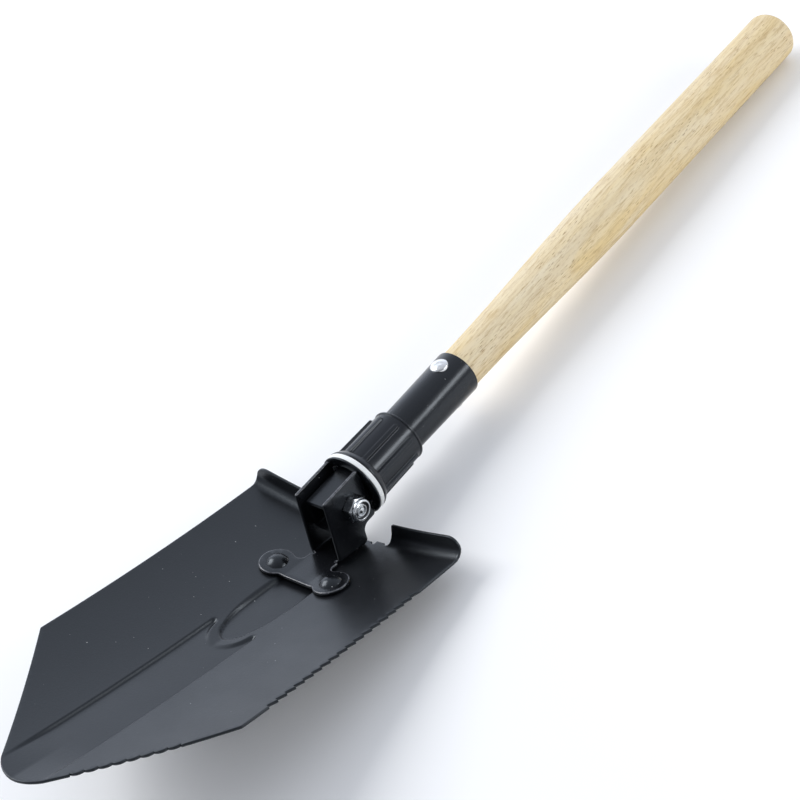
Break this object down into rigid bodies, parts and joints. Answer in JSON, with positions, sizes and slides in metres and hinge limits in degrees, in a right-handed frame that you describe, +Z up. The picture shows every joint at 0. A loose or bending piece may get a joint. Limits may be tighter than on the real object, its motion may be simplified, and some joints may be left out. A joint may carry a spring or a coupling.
{
  "type": "folding camp shovel",
  "caption": "Folding camp shovel with a dished steel blade, screw collar lock at the hinge and a turned wooden handle.",
  "frame": {"origin": "on the ground below the middle of the shovel's box, as it lies with the dished side up", "axes": "+Z up out of the dished side, +Y along the ground towards the handle's end, +X to the locknut side"},
  "size_m": [0.1528, 0.6846, 0.0733],
  "materials": {
    "black_coat": "satin powder coat",
    "black_gloss": "semi-gloss enamel",
    "collar_plastic": "semi-gloss moulded",
    "white_nylon": "matte",
    "insert_nylon": "matte",
    "zinc": "bright zinc plate",
    "bright_steel": "polished",
    "wood": "sanded, clear matte oil"
  },
  "bodies": {
    "grip": {"handle": "wood", "socket_tube": "black_gloss", "thread_sleeve": "black_coat", "tang": "black_coat", "tang_pins": "zinc", "pivot_bush": "zinc", "handle_rivet": "bright_steel", "rivet_washer": "bright_steel"},
    "blade_assembly": {"blade": "black_coat", "hinge_bracket": "black_coat", "blade_rivets": "black_coat", "pivot_bolt": "zinc", "bolt_washer": "zinc", "pivot_nut": "zinc", "nut_insert": "insert_nylon"},
    "thrust_washers": {"thrust_plate": "black_coat", "nylon_washer": "white_nylon"},
    "collar": {"locking_collar": "collar_plastic"}
  },
  "joints": [
    {"name": "blade_fold", "type": "hinge", "parent": "grip", "child": "blade_assembly", "pos_m": [0, -0.11352, 0.03245], "axis": [-1, 0, 0], "range_deg": [0, 166]},
    {"name": "washer_travel", "type": "slide", "parent": "grip", "child": "thrust_washers", "axis": [0, 0.9994, -0.0354], "range_m": [0, 0.0349]},
    {"name": "collar_spin", "type": "hinge", "parent": "thrust_washers", "child": "collar", "pos_m": [0, -0.07554, 0.0311], "axis": [0, 0.9994, -0.0354], "range_deg": [0, 1570]}
  ],
  "couplings": [
    {"joint": "washer_travel", "follows": "blade_fold", "m_per_rad": 0.012},
    {"joint": "collar_spin", "follows": "blade_fold", "ratio": 9.4248}
  ]
}
